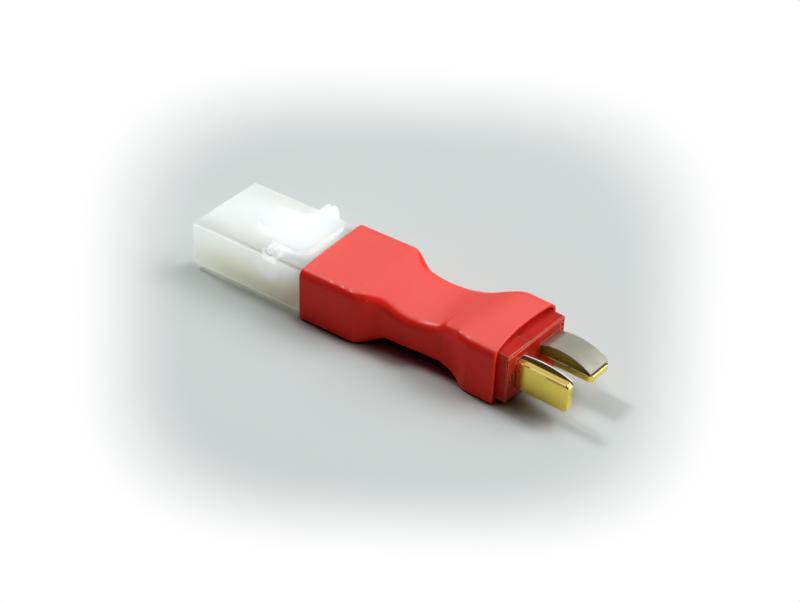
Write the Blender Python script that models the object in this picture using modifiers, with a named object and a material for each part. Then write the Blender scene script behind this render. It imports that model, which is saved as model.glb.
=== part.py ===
"""Battery connector adapter: a white two-way nylon receptacle joined to a red two-blade plug.

Two short leads link the receptacle's pins to the plug's blades, and one red shrink sleeve holds
both ends together. X runs along the adapter, from the receptacle's open mouth to the blades,
Y runs across it and Z up. The origin lies on the ground under the middle of the whole length.
"""

import math

import bmesh
import bpy
from mathutils import Matrix, Vector

MM = 0.001

# Clearances and the sleeve's wall
FIT_GAP = 0.2 * MM
SLEEVE_WALL = 0.5 * MM

# Receptacle housing, its x measured from the mouth
HOUSING_LENGTH = 33.0 * MM
HOUSING_WIDTH = 15.77 * MM
HOUSING_HEIGHT = 8.2 * MM
HOUSING_EDGE = 0.45 * MM
SHROUD_DEPTH = 12.8 * MM
ROOF_WALL = 1.2 * MM
PIN_PITCH = 6.7 * MM
DIVIDER = 0.9 * MM
SQUARE_CORNER = 0.5 * MM
ROUND_CORNER = 2.8 * MM
LEAD_IN = 0.6 * MM
MOUTH_FLARE = 0.3 * MM
GUIDE_WIDTH = 4.2 * MM
GUIDE_DEPTH = 0.4 * MM
DIVIDER_DROP = 0.9 * MM

# Pin terminals
PIN_DIAMETER = 2.36 * MM
PIN_RECESS = 5.0 * MM
PIN_TIP = 0.65 * MM
COLLAR_DIAMETER = 4.2 * MM
COLLAR_LENGTH = 1.1 * MM
BULKHEAD = 1.6 * MM
BARREL_WALL = 0.5 * MM
BARREL_PROUD = 1.4 * MM
BARREL_DEPTH = 3.6 * MM
BARREL_CONE = 0.45 * MM

# Latch lever and the ears that carry it
PIVOT_X = 16.35 * MM
PIVOT_RISE = 0.95 * MM
TRUNNION_DIAMETER = 1.0 * MM
EAR_LENGTH = 2.9 * MM
EAR_RISE = 1.75 * MM
EAR_WIDTH = 1.5 * MM
EAR_CORNER = 1.1 * MM
EAR_PROUD = 0.2 * MM
EAR_ROOT = 1.0 * MM
EAR_SLOT = 0.55 * MM
LEVER_THICKNESS = 0.85 * MM
LEVER_LIFT = 0.65 * MM
ARM_REACH = 6.75 * MM
TAB_LENGTH = 5.15 * MM
ARM_WIDTH = 6.4 * MM
TAB_WIDTH = 11.8 * MM
TAB_CORNER = 2.3 * MM
SHOULDER_LENGTH = 3.1 * MM
SHOULDER_CORNER = 0.85 * MM
SHOULDER_FILLET = 1.2 * MM
ARM_CORNER = 0.75 * MM
HOOK_LENGTH = 1.6 * MM
HOOK_FOOT = 0.65 * MM
HOOK_ROUND = 0.2 * MM
HOOK_BITE = 0.6 * MM
HOOK_WIDTH = 3.6 * MM
LEVER_EDGE = 0.16 * MM

# Plug, its x measured from its front face and its y from its own axis
JOIN_LENGTH = 20.65 * MM
PLUG_SHIFT = 0.22 * MM
PLUG_YAW = math.radians(-3.08)
PLUG_LENGTH = 7.4 * MM
PLUG_WIDTH = 14.8 * MM
PLUG_HEIGHT = 8.2 * MM
PLUG_EDGE = 0.22 * MM
PLUG_REAR_EDGE = 0.8 * MM
PLUG_RAISE = 0.25 * MM
RAISE_EDGE_Y = -1.8 * MM
DIMPLE_SIZE = 0.75 * MM
DIMPLE_DEPTH = 0.8 * MM
NEAR_DIMPLE = (-6.0 * MM, 4.95 * MM)
FAR_DIMPLE = (6.6 * MM, 7.65 * MM)

# Blades
BLADE_REACH = 9.31 * MM
BLADE_WIDTH = 4.95 * MM
BLADE_THICKNESS = 1.2 * MM
BLADE_TIP = 0.55 * MM
BLADE_EDGE = 0.12 * MM
TAB_REACH = 5.0 * MM
TAB_STEP = 0.35 * MM
UPRIGHT_Y = -4.44 * MM
FLAT_Y = 3.6 * MM

# Leaf springs, arcs that bow off the blades
SPRING_THICKNESS = 0.22 * MM
SPRING_INSET = 0.1 * MM
SPRING_CENTRE = 3.3 * MM
SPRING_HALF_CHORD = 5.6 * MM
FLAT_CROWN = 1.6 * MM
UPRIGHT_CROWN = 0.95 * MM
SPRING_ROOT = 1.9 * MM
SPRING_STEPS = 18

# Leads and solder
LEAD_DIAMETER = 5.2 * MM
STRAND_DIAMETER = 2.0 * MM
STRAND_SEAT = 3.2 * MM
LEAD_SAG = 0.6 * MM
LEAD_SPREAD = 7.15 * MM
SPREAD_RUN = 7.0 * MM
JACKET_CLEAR = 1.2 * MM
JACKET_TAPER = 0.1 * MM
STRAND_LAP = 4.0 * MM
SOLDER_LENGTH = 2.3 * MM
SOLDER_WIDTH = 1.5 * MM
SOLDER_PLACE = 2.2 * MM
LEAD_STEPS = 32

# Sleeve
LATCH_CLEAR = 0.9 * MM
SLEEVE_START_SKEW = 0.012
SLEEVE_TRIM = 1.85 * MM
SLEEVE_TRIM_SKEW = -0.088
SLEEVE_SLACK = 0.25 * MM
LAND_CORNER = 1.2 * MM
LAND_FOOT = 0.5 * MM
WAIST_CORNER = 2.7 * MM
WAIST_FOOT = 2.15 * MM
SHOULDER_RUN = 5.6 * MM
WAIST_TOP_RUN = 9.0 * MM
PLUG_SHOULDER_RUN = 4.0 * MM
PLUG_TOP_RUN = 7.6 * MM
PLUG_FOOT_RUN = 3.0 * MM
PLUG_FOOT_LEAD = 3.4 * MM
SLEEVE_STATIONS = 44
CORNER_STEPS = 5
FLAT_STEPS = 3

# How many flats stand for a full turn, and for a rounded corner
ROUND_STEPS = 24
ARC_STEPS = 6

# Places that follow from the sizes above
SEAT = SLEEVE_WALL + FIT_GAP
HOUSING_TOP = SEAT + HOUSING_HEIGHT
AXIS_Z = SEAT + HOUSING_HEIGHT / 2
CAVITY_WIDTH = PIN_PITCH - DIVIDER
CAVITY_HEIGHT = HOUSING_HEIGHT - 2 * ROOF_WALL
CAVITY_ROOF = HOUSING_TOP - ROOF_WALL
BORE_DIAMETER = COLLAR_DIAMETER + 2 * FIT_GAP
BARREL_DIAMETER = STRAND_DIAMETER + 2 * FIT_GAP + 2 * BARREL_WALL
BARREL_END = HOUSING_LENGTH + BARREL_PROUD
LEVER_FRONT = PIVOT_X - ARM_REACH
LEVER_END = PIVOT_X + TAB_LENGTH
PIVOT_Z = HOUSING_TOP + PIVOT_RISE
EAR_OUTER = HOUSING_WIDTH / 2 + EAR_PROUD
EAR_INNER = EAR_OUTER - EAR_WIDTH
PLUG_REAR = HOUSING_LENGTH + JOIN_LENGTH
PLUG_FRONT = PLUG_REAR + PLUG_LENGTH
PLUG_Z = SEAT + PLUG_HEIGHT / 2
PLUG_TOP = SEAT + PLUG_HEIGHT
TOTAL_LENGTH = PLUG_FRONT + BLADE_REACH
SPRING_WIDTH = BLADE_WIDTH - 2 * SPRING_INSET
SPRING_OFFSET = BLADE_THICKNESS / 2 + FIT_GAP
SLEEVE_START = LEVER_END + LATCH_CLEAR
WAIST_START = HOUSING_LENGTH - FIT_GAP
LEAD_START = BARREL_END - STRAND_SEAT
JACKET_START = BARREL_END + JACKET_CLEAR
TAB_END = PLUG_REAR - TAB_REACH
JACKET_END = TAB_END - JACKET_CLEAR
LEAD_Z = AXIS_Z - LEAD_SAG


def clear_scene():
    """Take away whatever the scene holds."""
    for found in list(bpy.data.objects):
        bpy.data.objects.remove(found, do_unlink=True)


clear_scene()
PARTS = bpy.data.collections.new("battery_connector_adapter")
CUTTERS = bpy.data.collections.new("cutters")
bpy.context.scene.collection.children.link(PARTS)
bpy.context.scene.collection.children.link(CUTTERS)


def make_empty(name, location, turn=0.0, parent=None):
    """A frame that pieces are placed in."""
    empty = bpy.data.objects.new(name, None)
    empty.location = location
    empty.rotation_euler = (0.0, 0.0, turn)
    empty.parent = parent
    PARTS.objects.link(empty)
    return empty


MOUTH = make_empty("mouth_frame", (-TOTAL_LENGTH / 2, 0.0, 0.0))
PLUG = make_empty("plug_frame", (PLUG_FRONT, PLUG_SHIFT, 0.0), PLUG_YAW, MOUTH)


def material(name, colour, roughness, metallic=0.0):
    """A Principled material with one colour."""
    made = bpy.data.materials.new(name)
    made.use_nodes = True
    shader = made.node_tree.nodes["Principled BSDF"]
    shader.inputs["Base Color"].default_value = (*colour, 1.0)
    shader.inputs["Roughness"].default_value = roughness
    shader.inputs["Metallic"].default_value = metallic
    made.diffuse_color = (*colour, 1.0)
    return made


NYLON = material("white_nylon", (0.86, 0.88, 0.84), 0.35)
RED_NYLON = material("red_nylon", (0.45, 0.02, 0.015), 0.25)
SLEEVE_RED = material("sleeve_red", (0.75, 0.05, 0.04), 0.4)
GOLD = material("gold_plate", (0.83, 0.62, 0.2), 0.2, 1.0)
SPRING_STEEL = material("spring_steel", (0.6, 0.6, 0.57), 0.35, 1.0)
TIN = material("tinned_brass", (0.72, 0.7, 0.66), 0.3, 1.0)
SOLDER = material("solder", (0.62, 0.62, 0.63), 0.3, 1.0)
RED_JACKET = material("red_jacket", (0.55, 0.03, 0.03), 0.5)
BLACK_JACKET = material("black_jacket", (0.02, 0.02, 0.022), 0.5)


def link(obj, parent, finish=None):
    """Put an object among the parts, or among the cutters when it has no finish."""
    obj.parent = parent
    if finish is None:
        CUTTERS.objects.link(obj)
        obj.hide_render = True
        obj.display_type = "WIRE"
    else:
        PARTS.objects.link(obj)
        obj.data.materials.append(finish)
    return obj


def from_bmesh(name, shape, parent, finish=None):
    """An object made from a finished bmesh, with its faces pointing out."""
    bmesh.ops.recalc_face_normals(shape, faces=shape.faces)
    mesh = bpy.data.meshes.new(name)
    shape.to_mesh(mesh)
    shape.free()
    return link(bpy.data.objects.new(name, mesh), parent, finish)


def block(name, low, high, parent, finish=None):
    """A box between two corners."""
    low, high = Vector(low), Vector(high)
    shape = bmesh.new()
    bmesh.ops.create_cube(shape, size=1.0)
    bmesh.ops.scale(shape, vec=high - low, verts=shape.verts)
    bmesh.ops.translate(shape, vec=(low + high) / 2, verts=shape.verts)
    return from_bmesh(name, shape, parent, finish)


def rod(name, start, end, diameter, parent, finish=None):
    """A cylinder from one point to another."""
    start, end = Vector(start), Vector(end)
    shape = bmesh.new()
    bmesh.ops.create_cone(
        shape,
        cap_ends=True,
        segments=ROUND_STEPS,
        radius1=diameter / 2,
        radius2=diameter / 2,
        depth=(end - start).length,
    )
    turn = (end - start).to_track_quat("Z", "Y").to_matrix().to_4x4()
    place = Matrix.Translation((start + end) / 2) @ turn
    bmesh.ops.transform(shape, matrix=place, verts=shape.verts)
    return from_bmesh(name, shape, parent, finish)


def rounded(corners, radii, steps=ARC_STEPS):
    """The outline through these corners, each replaced by an arc of its own radius."""
    points = []
    count = len(corners)
    for index, radius in enumerate(radii):
        corner = Vector(corners[index])
        before = (Vector(corners[index - 1]) - corner).normalized()
        after = (Vector(corners[(index + 1) % count]) - corner).normalized()
        if radius <= 0.0:
            points.append(corner)
            continue
        half = before.angle(after) / 2
        centre = corner + (before + after).normalized() * radius / math.sin(half)
        first = corner + before * radius / math.tan(half) - centre
        last = corner + after * radius / math.tan(half) - centre
        sweep = first.angle_signed(last)
        for step in range(steps + 1):
            turn = Matrix.Rotation(-sweep * step / steps, 2)
            points.append(centre + turn @ first)
    return points


PLANES = {
    "XY": Matrix(((1, 0, 0), (0, 1, 0), (0, 0, 1))),
    "XZ": Matrix(((1, 0, 0), (0, 0, -1), (0, 1, 0))),
    "YZ": Matrix(((0, 0, 1), (1, 0, 0), (0, 1, 0))),
}


def prism(name, plane, outline, depth, centre, parent, finish=None):
    """A flat outline in one plane, given a thickness about its centre point."""
    curve = bpy.data.curves.new(name, "CURVE")
    curve.dimensions = "2D"
    curve.fill_mode = "BOTH"
    curve.extrude = depth / 2
    spline = curve.splines.new("POLY")
    spline.points.add(len(outline) - 1)
    for point, (across, up) in zip(spline.points, outline):
        point.co = (across, up, 0.0, 1.0)
    spline.use_cyclic_u = True
    guide = bpy.data.objects.new(name + "_outline", curve)
    CUTTERS.objects.link(guide)
    graph = bpy.context.evaluated_depsgraph_get()
    mesh = bpy.data.meshes.new_from_object(guide.evaluated_get(graph))
    bpy.data.objects.remove(guide, do_unlink=True)
    shape = bmesh.new()
    shape.from_mesh(mesh)
    bpy.data.meshes.remove(mesh)
    bmesh.ops.remove_doubles(shape, verts=shape.verts, dist=0.001 * MM)
    bmesh.ops.transform(
        shape,
        matrix=Matrix.Translation(centre) @ PLANES[plane].to_4x4(),
        verts=shape.verts,
    )
    return from_bmesh(name, shape, parent, finish)


def boolean(obj, other, operation="DIFFERENCE"):
    """Cut or join another shape, exactly."""
    modifier = obj.modifiers.new(operation.lower() + "_" + other.name, "BOOLEAN")
    modifier.operation = operation
    modifier.solver = "EXACT"
    modifier.object = other


def bevel(obj, width, segments=1, angle=math.radians(40)):
    """Soften the edges that are sharper than an angle."""
    modifier = obj.modifiers.new("softened_edges", "BEVEL")
    modifier.width = width
    modifier.segments = segments
    modifier.limit_method = "ANGLE"
    modifier.angle_limit = angle


def smooth(obj, angle=math.radians(35)):
    """Shade a round piece smooth, apart from its sharp edges."""
    obj.data.shade_smooth()
    obj.data.set_sharp_from_angle(angle=angle)


def turned(name, profile, location, rotation, parent, finish):
    """A turned piece: a profile that runs down its outer side, spun about its own Z."""
    shape = bmesh.new()
    points = [shape.verts.new((radius, 0.0, height)) for radius, height in profile]
    for first, second in zip(points, points[1:]):
        shape.edges.new((first, second))
    mesh = bpy.data.meshes.new(name)
    shape.to_mesh(mesh)
    shape.free()
    obj = link(bpy.data.objects.new(name, mesh), parent, finish)
    obj.location = location
    obj.rotation_euler = rotation
    spin = obj.modifiers.new("turned", "SCREW")
    spin.angle = 2 * math.pi
    spin.steps = ROUND_STEPS
    spin.render_steps = ROUND_STEPS
    spin.use_merge_vertices = True
    spin.merge_threshold = 0.001 * MM
    spin.use_smooth_shade = True
    return obj


def ease(x, start, end):
    """A smooth rise from 0 at the start to 1 at the end."""
    share = min(max((x - start) / (end - start), 0.0), 1.0)
    return share * share * (3 - 2 * share)


def mix(first, second, share):
    """A value between two others."""
    return first + (second - first) * share


# Receptacle housing


def housing_body():
    """The outer block, with softened edges."""
    half = HOUSING_WIDTH / 2
    body = block(
        "receptacle_housing",
        (0.0, -half, SEAT),
        (HOUSING_LENGTH, half, HOUSING_TOP),
        MOUTH,
        NYLON,
    )
    bevel(body, HOUSING_EDGE, segments=2)
    return body


def way_outline(side, grow):
    """One way of the shroud, grown all round: its outer corners are rounded on the left only."""
    half_y, half_z = CAVITY_WIDTH / 2 + grow, CAVITY_HEIGHT / 2 + grow
    outer = ROUND_CORNER if side > 0 else SQUARE_CORNER
    corners = [(-half_y, -half_z), (half_y, -half_z), (half_y, half_z), (-half_y, half_z)]
    radii = [radius + grow for radius in (SQUARE_CORNER, outer, outer, SQUARE_CORNER)]
    return rounded(corners, radii)


def cavity(side):
    """The room inside one way of the shroud, with a sloping edge that widens its mouth."""
    shape = bmesh.new()
    rings = []
    for x, grow in ((-LEAD_IN, 2 * MOUTH_FLARE), (LEAD_IN, 0.0), (SHROUD_DEPTH, 0.0)):
        outline = way_outline(side, grow)
        places = [(x, side * PIN_PITCH / 2 + y, AXIS_Z + z) for y, z in outline]
        rings.append([shape.verts.new(place) for place in places])
    for first, second in zip(rings, rings[1:]):
        for index in range(len(first)):
            shape.faces.new((first[index - 1], first[index], second[index], second[index - 1]))
    shape.faces.new(rings[0])
    shape.faces.new(rings[-1])
    return from_bmesh(f"way_{side}", shape, MOUTH)


def window():
    """The slot in the roof that the lever's hook reaches through, and its way in from the mouth."""
    low = CAVITY_ROOF - DIVIDER_DROP
    slot = block(
        "hook_window",
        (LEVER_FRONT - 2 * FIT_GAP, -HOOK_WIDTH / 2 - FIT_GAP, low),
        (
            LEVER_FRONT + HOOK_LENGTH + 3 * FIT_GAP,
            HOOK_WIDTH / 2 + FIT_GAP,
            HOUSING_TOP + ROOF_WALL,
        ),
        MOUTH,
    )
    guide = block(
        "guide_slot",
        (-LEAD_IN, -GUIDE_WIDTH / 2, low),
        (LEVER_FRONT + HOOK_LENGTH, GUIDE_WIDTH / 2, CAVITY_ROOF + GUIDE_DEPTH),
        MOUTH,
    )
    return [slot, guide]


def ear(side):
    """One ear: a rounded lug at the edge of the roof, which the lever's trunnion snaps into."""
    radius = EAR_LENGTH / 2
    low, high = HOUSING_TOP - EAR_ROOT, HOUSING_TOP + EAR_RISE
    corners = [
        (PIVOT_X - radius, low),
        (PIVOT_X + radius, low),
        (PIVOT_X + radius, high),
        (PIVOT_X - radius, high),
    ]
    return prism(
        "ear_left" if side > 0 else "ear_right",
        "XZ",
        rounded(corners, [0.0, 0.0, EAR_CORNER, EAR_CORNER]),
        EAR_WIDTH,
        (0.0, side * (EAR_OUTER + EAR_INNER) / 2, 0.0),
        MOUTH,
    )


def pivot_bores():
    """The bores of both ears, and the slots that open them upwards."""
    reach = HOUSING_WIDTH
    diameter = TRUNNION_DIAMETER + 2 * FIT_GAP
    cutters = []
    for side in (1, -1):
        ends = (side * (EAR_INNER - FIT_GAP), side * (EAR_OUTER + FIT_GAP))
        bore = rod(
            f"ear_bore_{side}",
            (PIVOT_X, ends[0], PIVOT_Z),
            (PIVOT_X, ends[1], PIVOT_Z),
            diameter,
            MOUTH,
        )
        mouth = block(
            f"ear_mouth_{side}",
            (PIVOT_X - EAR_SLOT / 2, min(ends), PIVOT_Z),
            (PIVOT_X + EAR_SLOT / 2, max(ends), PIVOT_Z + reach),
            MOUTH,
        )
        cutters += [bore, mouth]
    return cutters


def terminal_bores():
    """The bore behind the shroud for each terminal, and its way through the bulkhead."""
    cutters = []
    for side in (1, -1):
        y = side * PIN_PITCH / 2
        cutters.append(
            rod(
                f"terminal_bore_{side}",
                (SHROUD_DEPTH + BULKHEAD, y, AXIS_Z),
                (HOUSING_LENGTH + BULKHEAD, y, AXIS_Z),
                BORE_DIAMETER,
                MOUTH,
            )
        )
        cutters.append(
            rod(
                f"pin_hole_{side}",
                (SHROUD_DEPTH - BULKHEAD, y, AXIS_Z),
                (SHROUD_DEPTH + 2 * BULKHEAD, y, AXIS_Z),
                PIN_DIAMETER + 2 * FIT_GAP,
                MOUTH,
            )
        )
    return cutters


def build_housing():
    """The white nylon receptacle housing with its shroud, window, ears and terminal bores."""
    body = housing_body()
    for side in (1, -1):
        boolean(body, ear(side), "UNION")
    for cutter in [cavity(1), cavity(-1)] + window() + pivot_bores() + terminal_bores():
        boolean(body, cutter)
    return body


# Latch lever


def build_lever():
    """The rocking latch: a hooked arm, shoulders on two trunnions, and a rounded press tab."""
    front, end = LEVER_FRONT - PIVOT_X, LEVER_END - PIVOT_X
    arm, tab = ARM_WIDTH / 2, TAB_WIDTH / 2
    shoulder = SHOULDER_LENGTH / 2
    corners = [
        (front, -arm),
        (-shoulder, -arm),
        (-shoulder, -tab),
        (end, -tab),
        (end, tab),
        (-shoulder, tab),
        (-shoulder, arm),
        (front, arm),
    ]
    near_side = [ARM_CORNER, SHOULDER_FILLET, SHOULDER_CORNER, TAB_CORNER]
    radii = near_side + near_side[::-1]
    middle = HOUSING_TOP + LEVER_LIFT + LEVER_THICKNESS / 2 - PIVOT_Z
    lever = prism(
        "latch_lever",
        "XY",
        rounded(corners, radii),
        LEVER_THICKNESS,
        (0.0, 0.0, middle),
        MOUTH,
        NYLON,
    )
    lever.location = (PIVOT_X, 0.0, PIVOT_Z)
    bevel(lever, LEVER_EDGE, segments=1, angle=math.radians(60))
    reach = EAR_OUTER - FIT_GAP / 2
    trunnion = rod("trunnion", (0.0, -reach, 0.0), (0.0, reach, 0.0), TRUNNION_DIAMETER, MOUTH)
    trunnion.location = lever.location
    boolean(lever, trunnion, "UNION")
    low = CAVITY_ROOF - HOOK_BITE - PIVOT_Z
    face = front + LEVER_THICKNESS / 2
    outline = [
        (face, middle),
        (face, low + HOOK_LENGTH / 2),
        (front + HOOK_LENGTH - HOOK_FOOT, low),
        (front + HOOK_LENGTH, low),
        (front + HOOK_LENGTH, middle),
    ]
    radii = [0.0, HOOK_ROUND, HOOK_ROUND / 2, HOOK_ROUND / 2, 0.0]
    hook = prism("hook", "XZ", rounded(outline, radii, steps=3), HOOK_WIDTH, (0.0, 0.0, 0.0), MOUTH)
    hook.location = lever.location
    boolean(lever, hook, "UNION")
    return lever


# Pin terminals and leads


def build_terminal(side, name):
    """A turned pin with its collar and the barrel that its lead is crimped into."""
    pin = PIN_DIAMETER / 2
    collar = COLLAR_DIAMETER / 2
    barrel = BARREL_DIAMETER / 2
    bore = STRAND_DIAMETER / 2 + FIT_GAP
    seat = BARREL_END - SHROUD_DEPTH - BULKHEAD - FIT_GAP
    top = BARREL_END - PIN_RECESS
    profile = [(0.0, top)]
    for step in range(1, ARC_STEPS + 1):
        angle = math.radians(90 * step / ARC_STEPS)
        out, up = PIN_TIP * math.sin(angle), PIN_TIP * math.cos(angle)
        profile.append((pin - PIN_TIP + out, top - PIN_TIP + up))
    profile += [
        (pin, seat),
        (collar, seat),
        (collar, seat - COLLAR_LENGTH),
        (barrel, seat - COLLAR_LENGTH - (collar - barrel)),
        (barrel, 0.0),
        (bore, 0.0),
        (bore, BARREL_DEPTH),
        (0.0, BARREL_DEPTH + BARREL_CONE),
    ]
    return turned(
        name,
        profile,
        (BARREL_END, side * PIN_PITCH / 2, AXIS_Z),
        (0.0, -math.pi / 2, 0.0),
        MOUTH,
        TIN,
    )


def plug_to_mouth(point):
    """A point of the plug's frame, in the frame of the mouth."""
    x, y, z = point
    turn = Matrix.Rotation(PLUG_YAW, 2)
    across = turn @ Vector((x, y))
    return Vector((PLUG_FRONT + across.x, PLUG_SHIFT + across.y, z))


def strand_seat(side):
    """Where a lead's strands lie along their tab, in the plug's frame: y and z."""
    off = BLADE_THICKNESS / 2 + FIT_GAP + STRAND_DIAMETER / 2
    if side < 0:
        return UPRIGHT_Y + off, PLUG_Z
    return FLAT_Y, PLUG_Z - off


def centre_line(x):
    """The sleeve's middle across the adapter, and its heading, where it reaches x."""
    share = ease(x, HOUSING_LENGTH, PLUG_REAR)
    plug_y = PLUG_SHIFT + (x - PLUG_FRONT) * math.tan(PLUG_YAW)
    return share * plug_y, share * PLUG_YAW


def lead_spread(x):
    """How far apart the two leads' middles are at x."""
    return mix(PIN_PITCH, LEAD_SPREAD, ease(x, JACKET_START, JACKET_START + SPREAD_RUN))


def lead_route(side):
    """The lead's points and radii, from inside its crimp barrel to the end of its lap."""
    y_tab, z_tab = strand_seat(side)
    rear = -PLUG_LENGTH - TAB_REACH
    lap_start = plug_to_mouth((rear, y_tab, z_tab))
    lap_end = plug_to_mouth((rear + STRAND_LAP, y_tab, z_tab))

    def centre(x):
        y = centre_line(x)[0] + side * lead_spread(x) / 2
        z = mix(AXIS_Z, LEAD_Z, ease(x, JACKET_START, JACKET_START + SPREAD_RUN))
        lap_y = mix(lap_start.y, lap_end.y, (x - lap_start.x) / (lap_end.x - lap_start.x))
        reach = ease(x, JACKET_END, lap_start.x - FIT_GAP)
        return Vector((x, mix(y, lap_y, reach), mix(z, z_tab, reach)))

    places = [mix(LEAD_START, lap_end.x, step / LEAD_STEPS) for step in range(LEAD_STEPS + 1)]
    for end in (JACKET_START, JACKET_END):
        places += [end - JACKET_TAPER, end + JACKET_TAPER]
    route = []
    for x in sorted(places):
        inside = JACKET_START < x < JACKET_END
        route.append((centre(x), (LEAD_DIAMETER if inside else STRAND_DIAMETER) / 2))
    return route


def build_lead(side, name, finish):
    """A short lead: bare strands at both ends and a thick soft jacket between."""
    curve = bpy.data.curves.new(name, "CURVE")
    curve.dimensions = "3D"
    curve.bevel_depth = LEAD_DIAMETER / 2
    curve.bevel_resolution = 3
    curve.use_fill_caps = True
    route = lead_route(side)
    spline = curve.splines.new("POLY")
    spline.points.add(len(route) - 1)
    for knot, (point, radius) in zip(spline.points, route):
        knot.co = (*point, 1.0)
        knot.radius = radius / (LEAD_DIAMETER / 2)
    return link(bpy.data.objects.new(name, curve), MOUTH, finish)


def build_solder(side, name):
    """The solder fillet that holds the strands to the face of their tab."""
    y, z = strand_seat(side)
    x = -PLUG_LENGTH - TAB_REACH + SOLDER_PLACE
    shape = bmesh.new()
    bmesh.ops.create_uvsphere(shape, u_segments=ROUND_STEPS, v_segments=ROUND_STEPS // 2, radius=1.0)
    widths = (SOLDER_LENGTH, SOLDER_WIDTH, SOLDER_WIDTH)
    bmesh.ops.scale(shape, vec=widths, verts=shape.verts)
    bmesh.ops.translate(shape, vec=(x, y, z), verts=shape.verts)
    blob = from_bmesh(name, shape, PLUG, SOLDER)
    reach = 2 * SOLDER_LENGTH
    face = BLADE_THICKNESS / 2 + FIT_GAP
    if side < 0:
        low, high = (x - reach, y - reach, z - reach), (x + reach, UPRIGHT_Y + face, z + reach)
    else:
        low, high = (x - reach, y - reach, PLUG_Z - face), (x + reach, y + reach, z + reach)
    boolean(blob, block(name + "_tab_side", low, high, PLUG))
    boolean(
        blob,
        rod(
            name + "_strand_bore",
            (x - reach, y, z),
            (x + reach, y, z),
            STRAND_DIAMETER + 2 * FIT_GAP,
            PLUG,
        ),
    )
    smooth(blob)
    return blob


# Plug: blades, springs and body


def blade_outline():
    """A blade from the side: soldering tab, wider middle and a tip with clipped corners."""
    half = BLADE_WIDTH / 2
    narrow = half - TAB_STEP
    rear = -PLUG_LENGTH - TAB_REACH
    neck = -PLUG_LENGTH - FIT_GAP
    return [
        (rear, -narrow + BLADE_TIP / 2),
        (rear + BLADE_TIP / 2, -narrow),
        (neck, -narrow),
        (neck, -half),
        (BLADE_REACH - BLADE_TIP, -half),
        (BLADE_REACH, -half + BLADE_TIP),
        (BLADE_REACH, half - BLADE_TIP),
        (BLADE_REACH - BLADE_TIP, half),
        (neck, half),
        (neck, narrow),
        (rear + BLADE_TIP / 2, narrow),
        (rear, narrow - BLADE_TIP / 2),
    ]


def build_blade(name, plane, centre):
    """One gold blade, stamped from strip, with its edges broken."""
    blade = prism(name, plane, blade_outline(), BLADE_THICKNESS, centre, PLUG, GOLD)
    bevel(blade, BLADE_EDGE, segments=1)
    return blade


def spring_profile(crown):
    """The spring's line: a flat root, a circular bow and a short toe, as x and height."""
    chord = SPRING_HALF_CHORD
    radius = (chord * chord + crown * crown) / (2 * crown)
    sweep = math.asin(chord / radius)
    line = [(SPRING_CENTRE - chord - SPRING_ROOT, 0.0)]
    for step in range(SPRING_STEPS + 1):
        angle = mix(-sweep, sweep, step / SPRING_STEPS)
        along, drop = radius * math.sin(angle), radius * (1 - math.cos(angle))
        line.append((SPRING_CENTRE + along, crown - drop))
    line.append((SPRING_CENTRE + chord + SPRING_INSET, 0.0))
    return line


def build_spring(name, crown, turn, centre_y, centre_z):
    """A leaf spring, bowed off the blade's face in the direction that the turn gives."""
    shape = bmesh.new()
    rows = []
    for x, height in spring_profile(crown):
        z = SPRING_OFFSET + height
        rows.append([shape.verts.new((x, y, z)) for y in (-SPRING_WIDTH / 2, SPRING_WIDTH / 2)])
    for first, second in zip(rows, rows[1:]):
        shape.faces.new((first[0], second[0], second[1], first[1]))
    bmesh.ops.rotate(shape, matrix=Matrix.Rotation(turn, 3, "X"), verts=shape.verts)
    bmesh.ops.translate(shape, vec=(0.0, centre_y, centre_z), verts=shape.verts)
    mesh = bpy.data.meshes.new(name)
    shape.to_mesh(mesh)
    shape.free()
    spring = link(bpy.data.objects.new(name, mesh), PLUG, SPRING_STEEL)
    thicken = spring.modifiers.new("strip", "SOLIDIFY")
    thicken.thickness = SPRING_THICKNESS
    thicken.offset = 1.0
    smooth(spring)
    return spring


def spring_room(crown):
    """How far a spring stands off its blade's middle at the plug's front face, with clearance."""
    chord = SPRING_HALF_CHORD
    radius = (chord * chord + crown * crown) / (2 * crown)
    bow = crown - radius + math.sqrt(radius * radius - SPRING_CENTRE * SPRING_CENTRE)
    return SPRING_OFFSET + bow + SPRING_THICKNESS + FIT_GAP


def chamfer_rear(body, rear, width):
    """Chamfer the edges round a block's rear face."""
    shape = bmesh.new()
    shape.from_mesh(body.data)
    edges = [edge for edge in shape.edges if max(vert.co.x for vert in edge.verts) < rear + width / 2]
    bmesh.ops.bevel(shape, geom=edges, offset=width, segments=1, affect="EDGES")
    shape.to_mesh(body.data)
    shape.free()


def plug_cuts():
    """The boxes cut from the plug's body: blade slots, spring pockets and two gate dimples."""
    thick = BLADE_THICKNESS / 2 + FIT_GAP
    wide = BLADE_WIDTH / 2 + FIT_GAP
    through = -PLUG_LENGTH - BLADE_TIP
    pocket = SPRING_CENTRE - SPRING_HALF_CHORD - SPRING_ROOT - 2 * FIT_GAP
    beside = UPRIGHT_Y + spring_room(UPRIGHT_CROWN)
    above = PLUG_Z + spring_room(FLAT_CROWN)
    cuts = {
        "upright_slot": (through, UPRIGHT_Y - thick, UPRIGHT_Y + thick, PLUG_Z - wide, PLUG_Z + wide),
        "upright_pocket": (pocket, UPRIGHT_Y, beside, PLUG_Z - wide, PLUG_Z + wide),
        "flat_slot": (through, FLAT_Y - wide, FLAT_Y + wide, PLUG_Z - thick, PLUG_Z + thick),
        "flat_pocket": (pocket, FLAT_Y - wide, FLAT_Y + wide, PLUG_Z, above),
    }
    size = DIMPLE_SIZE / 2
    for name, (y, z) in (("near_dimple", NEAR_DIMPLE), ("far_dimple", FAR_DIMPLE)):
        cuts[name] = (-DIMPLE_DEPTH, y - size, y + size, z - size, z + size)
    return cuts


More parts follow.
